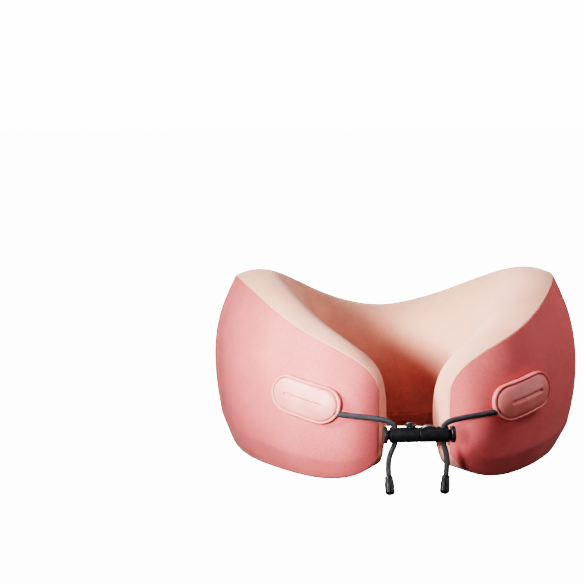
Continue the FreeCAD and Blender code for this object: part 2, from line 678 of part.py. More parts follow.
# ---- The whole pillow -------------------------------------------------------------------------------
def build():
    places = stations(CAP_ANGLES)
    nodes = {
        "foam_core": foam_core(),
        "cover_inner_panel": strip(places, 0, PANEL_THICK, 0, 3),
        "cover_outer_panel": trimmed(strip(places, 0, PANEL_THICK, 3, 6)),
        "cover_base_panel": trimmed(strip(places, 0, PANEL_THICK, 6, 8)),
        "zipper_tape_upper": zipper_tape(1),
        "zipper_tape_lower": zipper_tape(-1),
        "zipper_coil_upper": zipper_coil(1),
        "zipper_coil_lower": zipper_coil(-1),
        "zipper_end_stops": zipper_stops(),
        "zipper_slider": zipper_slider(),
        "zipper_pull": zipper_pull(),
        "care_label": care_label(),
        "lock_socket": lock_socket(),
        "lock_plug": lock_plug(),
        "release_button": release_button(),
        "button_spring": button_spring(),
        "latch_plate": latch_plate(),
    }
    pill_low = BADGE_GAP + BADGE_THICK + PILL_GAP
    for side, word in ((-1, "left"), (1, "right")):
        bore = tube(route(side)[:4], CORD_DIAMETER / 2 + CORD_BORE_GAP)[0]
        nodes["badge_base_" + word] = badge(side, BADGE_GAP, BADGE_GAP + BADGE_THICK, 0).cut(bore)
        nodes["badge_pill_" + word] = badge(side, pill_low, pill_low + PILL_THICK, PILL_MARGIN)
        nodes["cord_" + word] = cord(side)
        nodes["cord_tip_" + word] = cord_tip(side)
        nodes["plunger_" + word] = plunger(side)
        nodes["plunger_spring_" + word] = plunger_spring(side)
    return nodes


os.makedirs("parts", exist_ok=True)
for name, shape in build().items():
    box = shape.BoundBox
    extent = (box.XMin, box.XMax, box.YMin, box.YMax, box.ZMin, box.ZMax)
    print("%-20s solids %d valid %s volume %9.1f" % (name, len(shape.Solids), shape.isValid(), shape.Volume),
          "x %.1f..%.1f y %.1f..%.1f z %.1f..%.1f" % extent)
    shape.exportStep("parts/%s.step" % name)
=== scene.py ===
import math

import bmesh
import bpy
import numpy as np
from mathutils import Matrix, Vector
from mathutils.bvhtree import BVHTree
from mathutils.kdtree import KDTree


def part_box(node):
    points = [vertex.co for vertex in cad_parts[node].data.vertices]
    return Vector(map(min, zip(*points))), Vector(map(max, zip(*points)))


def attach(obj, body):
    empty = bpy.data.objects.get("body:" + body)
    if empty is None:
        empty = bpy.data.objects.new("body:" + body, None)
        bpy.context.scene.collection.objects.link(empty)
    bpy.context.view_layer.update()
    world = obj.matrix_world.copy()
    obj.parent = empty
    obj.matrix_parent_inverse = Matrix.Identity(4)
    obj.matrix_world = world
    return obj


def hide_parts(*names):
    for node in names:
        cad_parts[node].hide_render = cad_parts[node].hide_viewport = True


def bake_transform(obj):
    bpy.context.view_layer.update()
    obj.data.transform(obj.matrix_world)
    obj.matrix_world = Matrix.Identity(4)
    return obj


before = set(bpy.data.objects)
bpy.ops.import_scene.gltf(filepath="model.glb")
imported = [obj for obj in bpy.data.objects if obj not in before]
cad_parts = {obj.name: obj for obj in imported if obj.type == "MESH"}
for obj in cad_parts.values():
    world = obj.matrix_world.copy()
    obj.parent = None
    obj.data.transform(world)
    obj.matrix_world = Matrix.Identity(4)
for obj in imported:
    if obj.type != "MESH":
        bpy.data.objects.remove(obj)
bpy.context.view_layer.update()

# The looks of a U-shaped travel neck pillow: a foam pillow in a stretch knit cover, two rubber badges that
# hold elastic cords, a cord lock between them, and a zipper behind. Metres, in the frame of the CAD model.

# ---- The pillow's shape, as in the CAD model ------------------------------------------------------
# One row for each quantity along the U, from the middle of the back (s = 0) to a tip (s = 1).
STATION_S = (0.0, 0.2, 0.42, 0.62, 0.82, 1.0)
PROFILE = {
    "centre_x": (0.0, 0.0625, 0.099, 0.090, 0.060, 0.0255),
    "centre_y": (0.0925, 0.0755, 0.016, -0.044, -0.088, -0.112),
    "inner_reach": (0.042, 0.040, 0.038, 0.037, 0.037, 0.046),
    "outer_reach": (0.036, 0.038, 0.040, 0.0375, 0.031, 0.032),
    "height": (0.094, 0.113, 0.137, 0.130, 0.107, 0.096),
    "ridge": (0.0, 0.0, 0.08, 0.14, 0.12, 0.1),
    "seam_out": (0.7, 0.72, 0.6, 0.55, 0.6, 0.4),
    "seam_up": (0.9, 0.93, 0.965, 0.975, 0.985, 0.985),
    "belly_up": (0.5, 0.51, 0.53, 0.51, 0.5, 0.5),
    "inner_up": (0.5, 0.5, 0.48, 0.47, 0.47, 0.5),
    "crease_out": (0.9, 0.89, 0.88, 0.88, 0.88, 0.9),
    "crease_up": (0.2, 0.21, 0.2, 0.18, 0.165, 0.14),
    "sole_out": (0.66, 0.63, 0.57, 0.5, 0.52, 0.6),
    "sole_in": (0.97, 0.9, 0.66, 0.55, 0.55, 0.55),
    "low_seam_out": (1.03, 0.99, 0.88, 0.83, 0.82, 0.82),
}
LOW_SEAM_UP = 0.12
CAP_START = 0.768
CAP_POWER = 2.4
CAP_KEEP = 0.48
CAP_LEVEL = 0.42
CURVE_STEPS = (5, 14, 6, 12, 9, 5, 9, 5)     # mesh rows on each of the section's eight curves
ROWS = sum(CURVE_STEPS)
LOW_SEAM = 0
UPPER_SEAM = sum(CURVE_STEPS[:3])
CREASE = sum(CURVE_STEPS[:5])
SOLE_SEAM = sum(CURVE_STEPS[:6])
CORNER_S = 0.60            # a soft upright corner in the outer wall, where the front turns to the side
CORNER_WIDTH = 0.075
CORNER_LIFT = 0.0032
CORNER_SHARPNESS = 1.3
CORNER_FULLNESS = 0.7      # a smaller power keeps more of its lift near the seams
BACK_STEPS = 110
CAP_STEPS = 18
CAP_LAST_ANGLE = math.radians(89.94)     # a section at 90 degrees would have no width
CAP_CROWDING = 1.5

# ---- Soft cover -----------------------------------------------------------------------------------
START_INSET = 0.0012       # the cover starts this much inside its final place, and swells
PUFF_CAP = 0.0035
CLOTH_VOXEL = 0.005
CLOTH_FRAMES = 20
CLOTH_SETTINGS = {
    "quality": 6,
    "mass": 0.25,
    "tension_stiffness": 12.0,
    "compression_stiffness": 12.0,
    "bending_stiffness": 4.0,
    "use_pressure": True,
    "uniform_pressure_force": 9.0,
}
CLOTH_NEIGHBOURS = 6       # cloth points that each point of the cover takes its motion from
CLOTH_BLEND = 0.001        # added to their distances, so that the nearest one doesn't count alone
SMOOTHING_ROUNDS = 3
SEAM_HOLD = 0.011          # fabric nearer to a seam than this is held back by it
BADGE_HOLD = 0.034         # fabric this near to the middle of a badge doesn't swell
ZIPPER_HOLD = 0.01         # nor does the fabric below the zipper's top, from this far in front of it
GROUND_GAP = 0.0002
PANEL_DEPTH = 0.002
PANEL_TAPER = 0.0075       # times the share of its width that a section keeps, the most depth it has
PANEL_UNDERSIDE = 1.2      # the underside lies this many depths in
EDGE_REACH = 0.3           # the edge rolls over this share of the first row's width, at most
TIP_PULL = 0.0008          # each panel's last ring is pulled in this much, to close the tip neatly
# Distances from a seam, and how far down the edge has rolled there.
EDGE_ROLL = ((0.0, 0.0011), (0.00005, 0.00065), (0.0002, 0.0003), (0.0005, 0.0001), (0.0011, 0.00002))

# ---- Badges, cords and lock -----------------------------------------------------------------------
BADGE_S = 0.828
BADGE_HEIGHT = 0.0615
BADGE_LENGTH = 0.054
BADGE_WIDTH = 0.0268
BADGE_TILT = math.radians(11.0)
CORD_RADIUS = 0.002
CORD_SIDES = 24
BRAID_REPEATS = 4          # times that the braid's pattern goes round the cord
# The right cord runs from its badge on the pillow to the lock's plug; it is attached to nothing, and keeps
# its place baked into its mesh.
CORD_ROUTES = {
    -1: (
        (-0.0620, -0.1240, 0.0543),
        (-0.0558, -0.1262, 0.0534),
        (-0.0480, -0.1286, 0.0528),
        (-0.0384, -0.1316, 0.0524),
        (-0.0290, -0.1346, 0.0518),
        (-0.0208, -0.1367, 0.0502),
        (-0.0165, -0.1370, 0.0460),
        (-0.0165, -0.1370, 0.0346),
        (-0.0206, -0.1393, 0.0280),
        (-0.0228, -0.1437, 0.0205),
        (-0.0226, -0.1483, 0.0133),
    ),
    1: (
        (0.0620, -0.1240, 0.0543),
        (0.0558, -0.1262, 0.0534),
        (0.0480, -0.1288, 0.0526),
        (0.0384, -0.1319, 0.0519),
        (0.0290, -0.1347, 0.0511),
        (0.0210, -0.1365, 0.0497),
        (0.0165, -0.1370, 0.0460),
        (0.0165, -0.1370, 0.0346),
        (0.0192, -0.1393, 0.0276),
        (0.0190, -0.1436, 0.0202),
        (0.0176, -0.1481, 0.0132),
    ),
}

# ---- Zipper: it runs on an upright cone about (0, ZIP_CENTRE_Y) -----------------------------------
ZIP_CENTRE_Y = -0.0309
ZIP_RADIUS = 0.1595        # at the height ZIP_Z
ZIP_LEAN = 0.17            # growth of the radius with height
ZIP_Z = 0.031
ZIP_HALF_ANGLE = math.radians(31.0)
ZIP_END_SPARE = 0.004      # left bare by the end stops, both ends together
TOOTH_PITCH = 0.00132
TOOTH_LENGTH = 0.0021
TOOTH_WIDTH = 0.00084
TOOTH_HEIGHT = 0.00096
TOOTH_LIFT = 0.00078       # off the cone
TOOTH_OFFSET = 0.00068     # from ZIP_Z, up or down
TOOTH_SLANT = 0.14
STITCH_PITCH = 0.0036
STITCH_LENGTH = 0.0026
STITCH_WIDTH = 0.00052
STITCH_HEIGHT = 0.0004
STITCH_LIFT = 0.00088
STITCH_OFFSET = 0.0072
BEAD_RINGS = 5
BEAD_SIDES = 8
BEAD_FULLNESS = 0.6        # a smaller power gives blunter ends

# ---- Camera ---------------------------------------------------------------------------------------
CAMERA_PLACE = Vector((-0.1660, -1.2641, 0.3239))
CAMERA_AZIMUTH = math.radians(-3.882)
CAMERA_ELEVATION = math.radians(9.104)
CAMERA_LENS = 102.35
SENSOR_WIDTH = 36.0


# ---- Mesh helpers ---------------------------------------------------------------------------------
def new_object(name, vertices, faces, material=None, smooth=True):
    mesh = bpy.data.meshes.new(name)
    mesh.from_pydata([tuple(v) for v in vertices], [], faces)
    mesh.update()
    if smooth:
        mesh.polygons.foreach_set("use_smooth", [True] * len(mesh.polygons))
    if material:
        mesh.materials.append(material)
    obj = bpy.data.objects.new(name, mesh)
    bpy.context.scene.collection.objects.link(obj)
    return obj


def ring_faces(sections, points, closed_ends=True):
    """Quads between closed rings of points that follow each other, with a cap on each end."""
    faces = []
    for i in range(sections - 1):
        for j in range(points):
            a, b = i * points + j, i * points + (j + 1) % points
            faces.append((a, b, b + points, a + points))
    if closed_ends:
        faces.append(tuple(reversed(range(points))))
        faces.append(tuple(range((sections - 1) * points, sections * points)))
    return faces


def subdivide(obj):
    modifier = obj.modifiers.new("Smooth", "SUBSURF")
    modifier.levels = 1
    modifier.render_levels = 1


def piece(obj, body, slot, *replaced):
    """Sets what a piece rides on, and hides the CAD nodes that it stands for. The slot argument is not
    used.
    """
    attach(obj, body)
    if replaced:
        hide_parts(*replaced)
    return obj


# ---- Materials ------------------------------------------------------------------------------------
def linear(code):
    """Linear red, green, blue and alpha of a colour such as "D98585"."""
    channels = [int(code[i:i + 2], 16) / 255 for i in (0, 2, 4)]
    return tuple(c / 12.92 if c <= 0.04045 else ((c + 0.055) / 1.055) ** 2.4 for c in channels) + (1.0,)


class Surface:
    """A Principled material whose nodes are added one by one."""

    def __init__(self, name, colour, roughness, **sockets):
        self.material = bpy.data.materials.new(name)
        self.material.use_nodes = True
        self.nodes = self.material.node_tree.nodes
        self.links = self.material.node_tree.links
        self.shader = self.nodes["Principled BSDF"]
        self.shader.inputs["Base Color"].default_value = linear(colour)
        self.shader.inputs["Roughness"].default_value = roughness
        for socket, value in sockets.items():
            self.shader.inputs[socket.replace("_", " ")].default_value = value
        self.place = self.nodes.new("ShaderNodeTexCoord").outputs["Object"]

    def noise(self, scale, detail=2.0, rough=0.5, stretch=None):
        node = self.nodes.new("ShaderNodeTexNoise")
        node.inputs["Scale"].default_value = scale
        node.inputs["Detail"].default_value = detail
        node.inputs["Roughness"].default_value = rough
        place = self.place
        if stretch:
            mapping = self.nodes.new("ShaderNodeMapping")
            mapping.inputs["Scale"].default_value = stretch
            self.links.new(place, mapping.inputs["Vector"])
            place = mapping.outputs["Vector"]
        self.links.new(place, node.inputs["Vector"])
        return node.outputs["Fac"]

    def wave(self, scale, direction, distortion=0.0, coordinates=None):
        node = self.nodes.new("ShaderNodeTexWave")
        node.bands_direction = direction
        node.inputs["Scale"].default_value = scale
        node.inputs["Distortion"].default_value = distortion
        node.inputs["Detail"].default_value = 1.0
        self.links.new(coordinates or self.place, node.inputs["Vector"])
        return node.outputs["Fac"]

    def math(self, operation, a, b):
        node = self.nodes.new("ShaderNodeMath")
        node.operation = operation
        for socket, value in zip(node.inputs, (a, b)):
            if isinstance(value, float):
                socket.default_value = value
            else:
                self.links.new(value, socket)
        return node.outputs[0]

    def ramp(self, factor, stops):
        node = self.nodes.new("ShaderNodeValToRGB")
        elements = node.color_ramp.elements
        while len(elements) < len(stops):
            elements.new(0.5)
        for element, (position, colour) in zip(elements, stops):
            element.position = position
            element.color = linear(colour)
        self.links.new(factor, node.inputs["Fac"])
        return node.outputs["Color"]

    def mix(self, factor, a, b, blend="MIX"):
        node = self.nodes.new("ShaderNodeMix")
        node.data_type = "RGBA"
        node.blend_type = blend
        for name, value in (("Factor", factor), ("A", a), ("B", b)):
            sockets = [s for s in node.inputs if s.name == name and s.enabled]
            if isinstance(value, (float, tuple)):
                sockets[0].default_value = value
            else:
                self.links.new(value, sockets[0])
        return [s for s in node.outputs if s.enabled][0]

    def colour(self, value):
        self.links.new(value, self.shader.inputs["Base Color"])
        return self

    def roughness(self, factor, low, high):
        node = self.nodes.new("ShaderNodeMapRange")
        node.inputs["To Min"].default_value = low
        node.inputs["To Max"].default_value = high
        self.links.new(factor, node.inputs["Value"])
        self.links.new(node.outputs["Result"], self.shader.inputs["Roughness"])
        return self

    def bump(self, height, depth, strength=1.0):
        node = self.nodes.new("ShaderNodeBump")
        node.inputs["Distance"].default_value = depth
        node.inputs["Strength"].default_value = strength
        self.links.new(height, node.inputs["Height"])
        self.links.new(node.outputs["Normal"], self.shader.inputs["Normal"])
        return self


def knit(name, base, light, dark, contrast=1.0):
    """Fine brushed knit: short mottled fibres in three close shades over a soft grain."""
    surface = Surface(name, base, 0.82, Sheen_Weight=0.18, Sheen_Roughness=0.45, Specular_IOR_Level=0.25)
    grain = surface.noise(1250.0, 3.0, 0.6)
    fibre = surface.noise(640.0, 2.0, 0.55, stretch=(1.0, 1.0, 2.2))
    cloud = surface.noise(38.0, 2.0, 0.5)
    half = 0.22 / contrast
    mottle = surface.ramp(grain, [(0.5 - half, dark), (0.5, base), (0.5 + half, light)])
    wide = surface.ramp(fibre, [(0.3, dark), (0.5, base), (0.7, light)])
    colour = surface.mix(0.45, mottle, wide)
    shade = surface.ramp(cloud, [(0.3, "F4F0F0"), (0.7, "FFFFFF")])
    surface.colour(surface.mix(1.0, colour, shade, "MULTIPLY"))
    height = surface.math("ADD", grain, fibre)
    return surface.bump(height, 0.00018, 0.45).material


def rubber(name, base, light, dark):
    surface = Surface(name, base, 0.44, Specular_IOR_Level=0.45)
    cloud = surface.noise(60.0, 3.0, 0.5)
    surface.colour(surface.ramp(cloud, [(0.3, dark), (0.5, base), (0.7, light)]))
    grain = surface.noise(3200.0, 1.0)
    surface.roughness(surface.noise(240.0, 2.0), 0.38, 0.5)
    return surface.bump(grain, 0.00004, 0.5).material


def plastic(name, base, light, roughness=0.36):
    surface = Surface(name, base, roughness, Specular_IOR_Level=0.5)
    wear = surface.noise(320.0, 3.0, 0.6)
    surface.colour(surface.ramp(wear, [(0.35, base), (0.75, light)]))
    surface.roughness(wear, roughness - 0.05, roughness + 0.08)
    return surface.bump(surface.noise(5200.0, 1.0), 0.00002, 0.6).material


def braid(name, base, light):
    """A tightly braided elastic cord: two sets of strands that cross each other."""
    surface = Surface(name, base, 0.5, Sheen_Weight=0.12, Sheen_Roughness=0.4)
    around = surface.nodes.new("ShaderNodeUVMap").outputs["UV"]
    sets = []
    for lean in (1.0, -1.0):
        mapping = surface.nodes.new("ShaderNodeMapping")
        mapping.inputs["Rotation"].default_value = (0.0, 0.0, lean * math.radians(45))
        surface.links.new(around, mapping.inputs["Vector"])
        sets.append(surface.wave(5.6, "X", coordinates=mapping.outputs["Vector"]))
    strands = surface.math("MAXIMUM", *sets)
    surface.colour(surface.ramp(strands, [(0.3, base), (1.0, light)]))
    return surface.bump(strands, 0.00012, 0.6).material


def metal(name, base, light, roughness=0.3):
    surface = Surface(name, base, roughness, Metallic=1.0)
    scratches = surface.noise(900.0, 3.0, 0.6, stretch=(0.2, 0.2, 3.0))
    surface.colour(surface.ramp(scratches, [(0.3, base), (0.8, light)]))
    return surface.roughness(scratches, roughness - 0.06, roughness + 0.12).material


def foam(name):
    surface = Surface(name, "E9DFC6", 0.95)
    pores = surface.noise(1400.0, 2.0, 0.7)
    surface.colour(surface.ramp(pores, [(0.35, "CDBF9C"), (0.6, "EFE6D0")]))
    return surface.bump(pores, 0.0004, 0.8).material


def ribbon(name, base, light):
    """Woven tape with fine ribs along it."""
    surface = Surface(name, base, 0.7, Sheen_Weight=0.15, Sheen_Roughness=0.4)
    ribs = surface.wave(420.0, "Z", 0.4)
    threads = surface.noise(1500.0, 2.0)
    weave = surface.math("ADD", ribs, threads)
    surface.colour(surface.ramp(weave, [(0.5, base), (1.3, light)]))
    return surface.bump(weave, 0.00015, 0.5).material


MATERIALS = {
    "rose": knit("rose_knit", "E27C7B", "E78684", "DA706E"),
    "cream": knit("cream_knit", "EBB0A2", "F0BBAE", "E4A495", 0.7),
    "cream_base": knit("cream_base_knit", "E8AC9E", "EDB7A9", "DFA090", 0.7),
    "badge": rubber("badge_rubber", "E58F8B", "E99894", "DF8682"),
    "pill": rubber("badge_face_rubber", "E7938F", "EA9B97", "E18A86"),
    "cord": braid("elastic_cord", "2B2D31", "43464C"),
    "tip": plastic("tip_rubber", "27292C", "34373B", 0.42),
    "lock": plastic("lock_nylon", "232528", "2F3236", 0.36),
    "button": plastic("button_nylon", "2A2B2F", "3A3B40", 0.3),
    "latch": metal("latch_steel", "9A9DA1", "B9BCC0", 0.34),
    "spring": metal("spring_steel", "A8ABAF", "C9CCD0", 0.28),
    "foam": foam("memory_foam"),
    "tape": ribbon("zipper_tape", "A9494B", "BF6262"),
    "coil": plastic("zipper_coil_nylon", "B35153", "C56A6A", 0.4),
    "thread": ribbon("sewing_thread", "C87A79", "DB9291"),
    "zip_metal": metal("zipper_nickel", "77797D", "A0A3A7", 0.32),
    "label": ribbon("label_satin", "E9E4DE", "F6F2ED"),
}


# ---- The cover's surface --------------------------------------------------------------------------
def natural_spline(knots, values):
    """A cubic through all the knots, with no curvature at its two ends, for arrays of s."""
    knots, values = np.array(knots), np.array(values)
    gaps = np.diff(knots)
    count = len(knots)
    matrix, right = np.eye(count), np.zeros(count)
    for i in range(1, count - 1):
        matrix[i, i - 1:i + 2] = gaps[i - 1], 2 * (gaps[i - 1] + gaps[i]), gaps[i]
        right[i] = 6 * ((values[i + 1] - values[i]) / gaps[i] - (values[i] - values[i - 1]) / gaps[i - 1])
    bend = np.linalg.solve(matrix, right)

    def value(s):
        i = np.clip(np.searchsorted(knots, s) - 1, 0, count - 2)
        after, before, gap = knots[i + 1] - s, s - knots[i], gaps[i]
        curve = bend[i] * (after ** 3 - after * gap ** 2) + bend[i + 1] * (before ** 3 - before * gap ** 2)
        return (values[i] * after + values[i + 1] * before + curve / 6) / gap

    return value


def mirrored(name):
    """The quantity from the left tip to the right one."""
    sign = -1 if name == "centre_x" else 1
    row = PROFILE[name]
    knots = [-s for s in reversed(STATION_S[1:])] + list(STATION_S)
    return natural_spline(knots, [sign * v for v in reversed(row[1:])] + list(row))


ALONG = {name: mirrored(name) for name in PROFILE}


def frames_at(s):
    """Centre points at each s, and the level directions outwards from them."""
    step = 1e-4
    centre = np.stack([ALONG["centre_x"](s), ALONG["centre_y"](s), 0 * s], axis=-1)
    ahead = np.stack([ALONG["centre_x"](s + step), ALONG["centre_y"](s + step), 0 * s], axis=-1) - centre
    ahead /= np.linalg.norm(ahead, axis=-1, keepdims=True)
    return centre, np.stack([-ahead[:, 1], ahead[:, 0], 0 * s], axis=-1)


def cap_width(s):
    along_cap = np.clip((np.abs(s) - CAP_START) / (1 - CAP_START), 0, 1)
    return (1 - along_cap ** CAP_POWER) ** (1 / CAP_POWER)


def section_controls(s):
    """Control points (out, up) of the section's eight Bezier curves at each s, and its height there."""
    v = {name: ALONG[name](s) for name in PROFILE}
    a_in, a_out, top = v["inner_reach"], v["outer_reach"], v["height"]
    low = np.stack([-v["low_seam_out"] * a_in, LOW_SEAM_UP * top], axis=-1)
    inner = np.stack([-a_in, v["inner_up"] * top], axis=-1)
    ridge = np.stack([v["ridge"] * a_out, top], axis=-1)
    seam = np.stack([v["seam_out"] * a_out, v["seam_up"] * top], axis=-1)
    belly = np.stack([a_out, v["belly_up"] * top], axis=-1)
    crease = np.stack([v["crease_out"] * a_out, v["crease_up"] * top], axis=-1)
    sole_out = np.stack([v["sole_out"] * a_out, 0 * s], axis=-1)
    sole_in = np.stack([-v["sole_in"] * a_in, 0 * s], axis=-1)
    curves = []
    for start, end, leave, arrive in (
        (low, inner, (0.5, 0.225), (0.0, 0.5)),
        (inner, ridge, (0.0, 0.6), (0.55, 0.0)),
        (ridge, seam, (0.5, 0.0), (0.35, 0.595)),
        (seam, belly, (0.52, 0.3), (0.0, 0.45)),
        (belly, crease, (0.0, 0.45), (0.396, 0.297)),
        (crease, sole_out, (0.4, 0.4), (0.35, 0.0)),
        (sole_out, sole_in, (1 / 3, 0.0), (1 / 3, 0.0)),
        (sole_in, low, (0.5, 0.0), (0.28, 0.455)),
    ):
        run = end - start
        curves.append((start, start + run * np.array(leave), end - run * np.array(arrive), end))
    return curves, top


def corner_lift(s, rows):
    """How far the soft corners stand out at each s and mesh row."""
    sharp = np.maximum(0, 1 - np.abs(np.abs(s) - CORNER_S) / CORNER_WIDTH) ** CORNER_SHARPNESS
    share = np.clip((np.arange(rows) - UPPER_SEAM) / (SOLE_SEAM - UPPER_SEAM), 0, 1)
    return CORNER_LIFT * sharp[:, None] * np.sin(math.pi * share)[None, :] ** CORNER_FULLNESS


def cover_grid(s):
    """Points of the cover, one closed ring of ROWS points for each s."""
    curves, top = section_controls(s)
    rows = []
    for controls, steps in zip(curves, CURVE_STEPS):
        for u in np.arange(steps) / steps:
            weights = ((1 - u) ** 3, 3 * (1 - u) ** 2 * u, 3 * (1 - u) * u ** 2, u ** 3)
            rows.append(sum(weight * control for weight, control in zip(weights, controls)))
    ring = np.stack(rows, axis=1)
    width = cap_width(s)[:, None]
    tall = CAP_KEEP + (1 - CAP_KEEP) * width
    level = CAP_LEVEL * top[:, None]
    out = ring[:, :, 0] * width + corner_lift(s, ring.shape[1])
    up = level + (ring[:, :, 1] - level) * tall
    centre, outwards = frames_at(s)
    points = centre[:, None, :] + outwards[:, None, :] * out[:, :, None]
    points[:, :, 2] = up
    return points


def cover_places():
    """Values of s from tip to tip, closer together as each tip rounds off."""
    share = np.arange(1, CAP_STEPS + 1) / CAP_STEPS
    angle = CAP_LAST_ANGLE * (1 - (1 - share) ** CAP_CROWDING)
    cap = CAP_START + (1 - CAP_START) * np.sin(angle)
    back = np.linspace(-CAP_START, CAP_START, BACK_STEPS + 1)
    return np.concatenate([-cap[::-1], back, cap])


def grid_normals(points):
    along = np.gradient(points, axis=0)
    around = np.roll(points, -1, axis=1) - np.roll(points, 1, axis=1)
    normals = np.cross(along, around)
    normals /= np.maximum(np.linalg.norm(normals, axis=-1, keepdims=True), 1e-12)
    return normals


def point_tree(points):
    tree = KDTree(len(points))
    for i, point in enumerate(points):
        tree.insert(point, i)
    tree.balance()
    return tree


def held_share(points):
    """How free the cover is to swell at each point: 0 at a seam, a badge or the zipper, 1 well away."""
    seams = point_tree(np.concatenate([GRID[:, UPPER_SEAM], GRID[:, SOLE_SEAM], GRID[0], GRID[-1]]))
    reach = np.array([seams.find(point)[2] for point in points])
    free = np.clip(reach / SEAM_HOLD, 0, 1)
    for middle in BADGE_MIDDLES:
        away = np.linalg.norm(points - np.array(middle), axis=1)
        free = np.minimum(free, np.clip((away - BADGE_HOLD) / SEAM_HOLD, 0, 1))
    front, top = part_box("zipper_tape_lower")[0].y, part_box("zipper_tape_upper")[1].z
    behind = (points[:, 1] > front - ZIPPER_HOLD) & (points[:, 2] < top + SEAM_HOLD)
    free[behind] = np.minimum(free[behind], np.clip((points[behind, 2] - top) / SEAM_HOLD, 0, 1))
    return free * free * (3 - 2 * free)


def cloth_motion(start):
    """Even points of this surface, and how far a cloth simulation under pressure moves each of them."""
    body = new_object("cover_cloth", start.reshape(-1, 3), ring_faces(start.shape[0], ROWS))
    remesh = body.modifiers.new("Voxels", "REMESH")
    remesh.mode = "VOXEL"
    remesh.voxel_size = CLOTH_VOXEL
    remesh.adaptivity = 0.0
    even = bpy.data.meshes.new_from_object(body.evaluated_get(bpy.context.evaluated_depsgraph_get()))
    body.modifiers.clear()
    body.data = even
    rest = np.array([v.co for v in even.vertices])
    pins = body.vertex_groups.new(name="held")
    for i, share in enumerate(held_share(rest)):
        pins.add([i], 1.0 - float(share), "REPLACE")
    cloth = body.modifiers.new("Cloth", "CLOTH")
    cloth.settings.vertex_group_mass = "held"
    for setting, value in CLOTH_SETTINGS.items():
        setattr(cloth.settings, setting, value)
    cloth.settings.effector_weights.gravity = 0.0
    cloth.collision_settings.use_collision = False
    scene = bpy.context.scene
    for number in range(1, CLOTH_FRAMES + 1):
        scene.frame_set(number)
    result = body.evaluated_get(bpy.context.evaluated_depsgraph_get()).to_mesh()
    moved = np.array([v.co for v in result.vertices]) - rest
    scene.frame_set(1)
    bpy.data.objects.remove(body)
    return rest, moved


def smoothed(field):
    """The field with each value eased towards its neighbours, along the cover and around it."""
    for _ in range(SMOOTHING_ROUNDS):
        field[1:-1] = (field[:-2] + 2 * field[1:-1] + field[2:]) / 4
        field = (np.roll(field, 1, axis=1) + 2 * field + np.roll(field, -1, axis=1)) / 4
    return field


def swollen(points, normals):
    """The cover after a cloth simulation that swells it from a slightly smaller shape."""
    free = held_share(points.reshape(-1, 3)).reshape(points.shape[:2] + (1,))
    start = points - normals * START_INSET
    rest, moved = cloth_motion(start)
    distance_moved = np.linalg.norm(moved, axis=1, keepdims=True)
    moved *= np.minimum(1, PUFF_CAP / np.maximum(distance_moved, 1e-9))
    tree = point_tree(rest)
    swell = np.zeros_like(points.reshape(-1, 3))
    for i, point in enumerate(start.reshape(-1, 3)):
        near = tree.find_n(point, CLOTH_NEIGHBOURS)
        weights = np.array([1 / (distance + CLOTH_BLEND) ** 2 for _, _, distance in near])
        swell[i] = (moved[[index for _, index, _ in near]] * weights[:, None]).sum(0) / weights.sum()
    outward = np.maximum((swell.reshape(points.shape) * normals).sum(-1, keepdims=True), 0)
    return points + normals * (smoothed(outward) * free)


def surface_point(side):
    """The middle of a badge on the outer wall, and the level direction outwards there."""
    s = np.array([side * BADGE_S])
    ring = cover_grid(s)[0]
    wall = ring[CREASE:UPPER_SEAM:-1]
    place = [np.interp(BADGE_HEIGHT, wall[:, 2], wall[:, axis]) for axis in range(3)]
    return Vector(place), Vector(frames_at(s)[1][0])


BADGE_MIDDLES = [surface_point(side)[0] for side in (-1, 1)]
GRID = cover_grid(cover_places())
COVER = swollen(GRID, grid_normals(GRID))
COVER[:, :, 2] = np.maximum(COVER[:, :, 2], GROUND_GAP)
COVER_NORMALS = grid_normals(COVER)


def panel(name, first, last, material, slot, node):
    """One sewn panel of the cover between two seams, as a closed skin whose edges roll in at the seams."""
    count = COVER.shape[0]
    depth = np.minimum(PANEL_DEPTH, PANEL_TAPER * cap_width(cover_places()))[:, None]
    rows = [COVER[:, row % ROWS] for row in range(first, last + 1)]
    normals = [COVER_NORMALS[:, row % ROWS] for row in range(first, last + 1)]

    def rolled(edge, towards, normal):
        run = towards - edge
        spacing = np.linalg.norm(run, axis=1, keepdims=True)
        run = run / np.maximum(spacing, 1e-9)
        out = []
        for away, down in EDGE_ROLL:
            inwards = run * np.minimum(away, EDGE_REACH * spacing)
            out.append(edge + inwards - normal * np.minimum(down, depth))
        return out

    start = rolled(rows[0], rows[1], normals[0])
    end = rolled(rows[-1], rows[-2], normals[-1])
    lower = [row - normal * depth * PANEL_UNDERSIDE for row, normal in zip(rows, normals)]
    under = lower[-3:1:-2]
    loop = np.stack(start + rows[1:-1] + end[::-1] + under, axis=1)
    outer = len(start) + len(rows) - 2 + len(end)
    for tip in (0, -1):
        loop[tip, :outer] -= normals[len(normals) // 2][tip] * TIP_PULL
    loop[:, :, 2] = np.maximum(loop[:, :, 2], 0.0)
    obj = new_object(name, loop.reshape(-1, 3), ring_faces(count, loop.shape[1]), material)
    subdivide(obj)
    piece(obj, "pillow", slot, node)
    return obj


def cover():
    for name, first, last, finish, node in (
        ("cream_inner_cover", LOW_SEAM, UPPER_SEAM, "cream", "cover_inner_panel"),
        ("rose_outer_cover", UPPER_SEAM, SOLE_SEAM, "rose", "cover_outer_panel"),
        ("cream_base_cover", SOLE_SEAM, ROWS, "cream_base", "cover_base_panel"),
    ):
        panel(name, first, last, MATERIALS[finish], finish + "_fabric", node)


